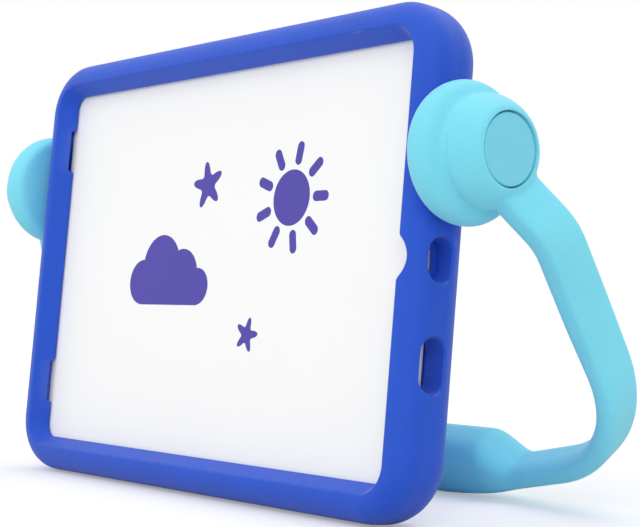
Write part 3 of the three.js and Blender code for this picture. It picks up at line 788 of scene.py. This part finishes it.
both = add(skin_group, "ShaderNodeMath", (-200, -350), operation="MULTIPLY_ADD")
give(both, {1: FINE_SHARE})
print("foam_skin nodes:", [node.name for node in skin_group.nodes])

# %% Links of the foam skin group
links = skin_group.links
for texture in (clouds, pebbles, fine):
    links.new(place.outputs["Object"], texture.inputs["Vector"])
links.new(skin_in.outputs["Grain Size"], pebbles.inputs["Scale"])
links.new(skin_in.outputs["Grain Size"], fine.inputs["Scale"])
links.new(clouds.outputs["Fac"], swing_range.inputs["Value"])
links.new(swing_range.outputs["Result"], strength.inputs[0])
links.new(skin_in.outputs["Clouds"], strength.inputs[1])
links.new(strength.outputs[0], value.inputs[0])
links.new(value.outputs[0], tint.inputs["Value"])
links.new(skin_in.outputs["Colour"], tint.inputs["Color"])
links.new(strength.outputs[0], rough_add.inputs[0])
links.new(skin_in.outputs["Roughness"], rough_add.inputs[2])
links.new(fine.outputs["Fac"], both.inputs[0])
links.new(pebbles.outputs["Distance"], both.inputs[2])
links.new(tint.outputs["Color"], skin_out.inputs["Colour"])
links.new(rough_add.outputs[0], skin_out.inputs["Roughness"])
links.new(both.outputs[0], skin_out.inputs["Height"])
print("foam_skin links:", len(links))

# %% Painted edge highlight group
EDGE_LOW, EDGE_HIGH = 0.52, 0.62
PAINTED_HIGHLIGHT_TINT = (0.8, 0.85, 1.0, 1)

# Painted highlight: on convex edges the colour is screened towards a pale blue-white tint, and the roughness
# drops.
edge_group, edge_in, edge_out = new_group(
    "painted_edge_highlight",
    [("Colour", "NodeSocketColor", (0.5, 0.5, 0.5, 1)), ("Roughness", "NodeSocketFloat", 0.6),
     ("Lift", "NodeSocketFloat", 0.1)],
    [("Colour", "NodeSocketColor"), ("Roughness", "NodeSocketFloat")])
shape = add(edge_group, "ShaderNodeNewGeometry", (-900, -250))
edge_mask = add(edge_group, "ShaderNodeMapRange", (-650, -200))
give(edge_mask, {"From Min": EDGE_LOW, "From Max": EDGE_HIGH})
edge_highlight = add(edge_group, "ShaderNodeMath", (-400, -200), operation="MULTIPLY")
painted_highlight = add(edge_group, "ShaderNodeMix", (0, 100), data_type="RGBA", blend_type="SCREEN")
give(painted_highlight, {"B": PAINTED_HIGHLIGHT_TINT})
smoother = add(edge_group, "ShaderNodeMath", (0, -200), operation="SUBTRACT")
edge_links = edge_group.links
edge_links.new(shape.outputs["Pointiness"], edge_mask.inputs["Value"])
edge_links.new(edge_mask.outputs["Result"], edge_highlight.inputs[0])
edge_links.new(edge_in.outputs["Lift"], edge_highlight.inputs[1])
edge_links.new(edge_highlight.outputs[0], painted_highlight.inputs["Factor"])
edge_links.new(edge_in.outputs["Colour"], painted_highlight.inputs["A"])
edge_links.new(edge_in.outputs["Roughness"], smoother.inputs[0])
edge_links.new(edge_highlight.outputs[0], smoother.inputs[1])
edge_links.new(painted_highlight.outputs["Result"], edge_out.inputs["Colour"])
edge_links.new(smoother.outputs[0], edge_out.inputs["Roughness"])
print("group painted_edge_highlight:", len(edge_group.nodes), "nodes")

# %% [markdown]
# ## Finishes
# Every finish is the same short chain: the foam skin group, the painted edge highlight group, a bump, and
# one shader. What differs is the colour, how rough it is and how coarse the grain, so one function builds them
# all and each finish is one call. Colours are given as they look on a screen and turned into the linear
# values that the shader wants.

# %% Finishes from the two groups
BUMP_HEIGHT, SHEEN_ROUGHNESS = 0.0003, 0.5


def linear(red, green, blue):
    """Linear colour from screen values of 0 to 255."""
    def one(c):
        c /= 255
        return c / 12.92 if c <= 0.04045 else ((c + 0.055) / 1.055) ** 2.4
    return (one(red), one(green), one(blue), 1.0)


def finish(name, colour, roughness, clouds, grain, bump, edge_highlight, specular, metallic=0.0, sheen=0.0):
    """A material made of the two groups, a bump and one shader."""
    made = bpy.data.materials.new(name)
    made.use_nodes = True
    tree = made.node_tree
    shader = tree.nodes["Principled BSDF"]
    skin_node = add(tree, "ShaderNodeGroup", (-700, 100), node_tree=skin_group)
    give(skin_node, {"Colour": colour, "Clouds": clouds, "Roughness": roughness, "Grain Size": grain})
    # The edge group paints a lighter highlight on convex edges.
    edge_node = add(tree, "ShaderNodeGroup", (-450, 100), node_tree=edge_group)
    give(edge_node, {"Lift": edge_highlight})
    raised = add(tree, "ShaderNodeBump", (-250, -250))
    give(raised, {"Strength": bump, "Distance": BUMP_HEIGHT})
    tree.links.new(skin_node.outputs["Colour"], edge_node.inputs["Colour"])
    tree.links.new(skin_node.outputs["Roughness"], edge_node.inputs["Roughness"])
    tree.links.new(skin_node.outputs["Height"], raised.inputs["Height"])
    tree.links.new(edge_node.outputs["Colour"], shader.inputs["Base Color"])
    tree.links.new(edge_node.outputs["Roughness"], shader.inputs["Roughness"])
    tree.links.new(raised.outputs["Normal"], shader.inputs["Normal"])
    give(shader, {"Metallic": metallic, "Specular IOR Level": specular,
                  "Sheen Weight": sheen, "Sheen Roughness": SHEEN_ROUGHNESS})
    return made


# Each finish paints its convex edges lighter by its own amount: a painted highlight.
blue_foam = finish("blue_foam", linear(22, 80, 202), roughness=0.62, clouds=0.05, grain=1000,
                   bump=0.35, edge_highlight=0.06, specular=0.35, sheen=0.15)
sky_foam = finish("sky_foam", linear(124, 222, 242), roughness=0.62, clouds=0.04, grain=1000,
                  bump=0.28, edge_highlight=0.2, specular=0.3, sheen=0.2)
sky_cap = finish("sky_cap", linear(124, 214, 236), roughness=0.5, clouds=0.02, grain=1400,
                 bump=0.15, edge_highlight=0.05, specular=0.3)
white_shell = finish("white_shell", linear(252, 252, 250), roughness=0.4, clouds=0.005, grain=1800,
                     bump=0.03, edge_highlight=0.0, specular=0.4)
indigo_print = finish("indigo_print", linear(84, 74, 170), roughness=0.55, clouds=0.02, grain=1800,
                      bump=0.05, edge_highlight=0.0, specular=0.3)
plain_steel = finish("plain_steel", linear(185, 189, 194), roughness=0.32, clouds=0.03, grain=2400,
                     bump=0.1, edge_highlight=0.1, specular=0.5, metallic=1.0)
plain_nylon = finish("plain_nylon", linear(230, 230, 224), roughness=0.5, clouds=0.02, grain=1600,
                     bump=0.1, edge_highlight=0.05, specular=0.5)

# %% Put the finishes on
def dress(piece, material):
    """Gives a piece one material."""
    piece.data.materials.clear()
    piece.data.materials.append(material)


dress(case_foam, blue_foam)
dress(handle_foam, sky_foam)
for cap in caps:
    dress(cap, sky_cap)
for shape_print in prints:
    dress(shape_print, indigo_print)
for node_name, node in nodes.items():
    metal = node_name.startswith(("anchor_plate", "head_washer", "pivot_screw"))
    nylon = node_name.startswith(("wall_washer", "hub_bush"))
    dress(node, plain_steel if metal else plain_nylon if nylon else white_shell)
    smooth(node, angle=40)
print("materials:", [m.name for m in bpy.data.materials if m.users])

# %% [markdown]
# ## Floor and light
# The studio is a white floor under a white world. Area lamps would light the floor in a pool and leave it
# grey further out, so the lamps are a few wide suns: they light the floor evenly, and their spread keeps the
# shadow soft. Most of the light is the world's own. The key comes low from the front right, and weaker
# suns from above, from the front left and from behind fill in. The floor glows a little where the camera
# sees it, so that it ends up as white as the world behind it.

# %% Floor
FLOOR_HALF, FLOOR_DROP = 9.0, 0.0002

floor_corners = [(-FLOOR_HALF, -FLOOR_HALF, 0), (FLOOR_HALF, -FLOOR_HALF, 0),
                 (FLOOR_HALF, FLOOR_HALF, 0), (-FLOOR_HALF, FLOOR_HALF, 0)]
floor_mesh = bpy.data.meshes.new("floor")
floor_mesh.from_pydata(floor_corners, [], [(0, 1, 2, 3)])
floor = bpy.data.objects.new("floor", floor_mesh)
floor.location.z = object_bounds()[0].z - FLOOR_DROP
bpy.context.scene.collection.objects.link(floor)
print("floor at", round(floor.location.z, 5), "m")

# %% Floor paint that glows where the camera sees it
FLOOR_WHITE, FLOOR_GLOW = (0.72, 0.72, 0.73, 1), 0.3

floor_paint = bpy.data.materials.new("floor_paint")
floor_paint.use_nodes = True
paint_tree = floor_paint.node_tree
paint = paint_tree.nodes["Principled BSDF"]
give(paint, {"Base Color": FLOOR_WHITE, "Roughness": 0.9, "Specular IOR Level": 0.0})
seen = add(paint_tree, "ShaderNodeLightPath", (-500, 400))
white_glow = add(paint_tree, "ShaderNodeEmission", (0, 300))
glow_amount = add(paint_tree, "ShaderNodeMath", (-250, 300), operation="MULTIPLY")
give(glow_amount, {1: FLOOR_GLOW})
both_lights = add(paint_tree, "ShaderNodeAddShader", (300, 100))
paint_tree.links.new(seen.outputs["Is Camera Ray"], glow_amount.inputs[0])
paint_tree.links.new(glow_amount.outputs[0], white_glow.inputs["Strength"])
paint_tree.links.new(white_glow.outputs[0], both_lights.inputs[0])
paint_tree.links.new(paint.outputs[0], both_lights.inputs[1])
paint_tree.links.new(both_lights.outputs[0], paint_tree.nodes["Material Output"].inputs["Surface"])
floor.data.materials.append(floor_paint)
print("floor paint:", len(paint_tree.nodes), "nodes")

# %% World
AMBIENT = 0.66
world = bpy.data.worlds.new("studio")
bpy.context.scene.world = world
world.use_nodes = True
sky_tree = world.node_tree
backdrop = sky_tree.nodes["Background"]
give(backdrop, {"Color": (1, 1, 1, 1)})
path = add(sky_tree, "ShaderNodeLightPath", (-700, 200))
seen_plain = add(sky_tree, "ShaderNodeMath", (-450, 200), operation="MAXIMUM")
seen_clear = add(sky_tree, "ShaderNodeMath", (-250, 200), operation="MAXIMUM")
level = add(sky_tree, "ShaderNodeMapRange", (-50, 200))
give(level, {"To Min": AMBIENT, "To Max": 1.0})
sky_tree.links.new(path.outputs["Is Camera Ray"], seen_plain.inputs[0])
sky_tree.links.new(path.outputs["Is Glossy Ray"], seen_plain.inputs[1])
sky_tree.links.new(seen_plain.outputs[0], seen_clear.inputs[0])
sky_tree.links.new(path.outputs["Is Transmission Ray"], seen_clear.inputs[1])
sky_tree.links.new(seen_clear.outputs[0], level.inputs["Value"])
sky_tree.links.new(level.outputs["Result"], backdrop.inputs["Strength"])
print("world lights at", AMBIENT, "and looks white")

# %% Lamps, each with its name, heading, height and spread in degrees, and strength
LAMPS = [("key", -46, 28, 36, 0.72), ("top", 90, 78, 50, 0.5), ("front", -112, 40, 40, 0.5),
         ("back", 90, 50, 50, 0.3)]


def lamp(name, turn_about_z, height, spread, strength):
    """A wide soft sun from that heading and height, in degrees, so that the floor is lit evenly."""
    light = bpy.data.lights.new(name, "SUN")
    light.energy = strength
    light.angle = math.radians(spread)
    made = bpy.data.objects.new(name, light)
    heading, up = math.radians(turn_about_z), math.radians(height)
    towards = Vector((math.cos(heading) * math.cos(up), math.sin(heading) * math.cos(up), math.sin(up)))
    made.rotation_euler = towards.to_track_quat("Z", "Y").to_euler()
    bpy.context.scene.collection.objects.link(made)
    return made


lamps = [lamp(*values) for values in LAMPS]
print("lamps:", [(made.name, round(made.data.energy, 2)) for made in lamps])

# %% [markdown]
# ## Camera
# The photo was taken with a long lens, to the right of the case and just below half its height. The place
# and turn of the camera were worked out from the straight edges of the case, in the case's own frame, so
# they are given there and carried into the room by the same matrix as the case.

# %% Camera
FOCAL_PIXELS, IMAGE_WIDTH, SENSOR_WIDTH = 1525.67, 640, 36.0
CAMERA_PLACE = Vector((525.8, -373.0, -50.0)) * MM
YAW, PITCH, ROLL = 49.94, 4.72, -4.66

camera_data = bpy.data.cameras.new("camera")
camera_data.sensor_width = SENSOR_WIDTH
camera_data.lens = FOCAL_PIXELS * SENSOR_WIDTH / IMAGE_WIDTH
yaw, pitch, roll = math.radians(YAW), math.radians(PITCH), math.radians(ROLL)
forward = Vector((-math.sin(yaw) * math.cos(pitch), math.cos(yaw) * math.cos(pitch), math.sin(pitch)))
level_right = Vector((math.cos(yaw), math.sin(yaw), 0))
level_down = forward.cross(level_right)
right = math.cos(roll) * level_right + math.sin(roll) * level_down
down = -math.sin(roll) * level_right + math.cos(roll) * level_down
turn = Matrix((right, -down, -forward)).transposed().to_4x4()
camera = bpy.data.objects.new("camera", camera_data)
camera.matrix_world = case_frame @ Matrix.Translation(CAMERA_PLACE) @ turn
bpy.context.scene.collection.objects.link(camera)
bpy.context.scene.camera = camera
bpy.context.scene.view_settings.view_transform = "Standard"
print("camera", [round(v, 3) for v in camera.matrix_world.translation], "lens", round(camera_data.lens, 1))
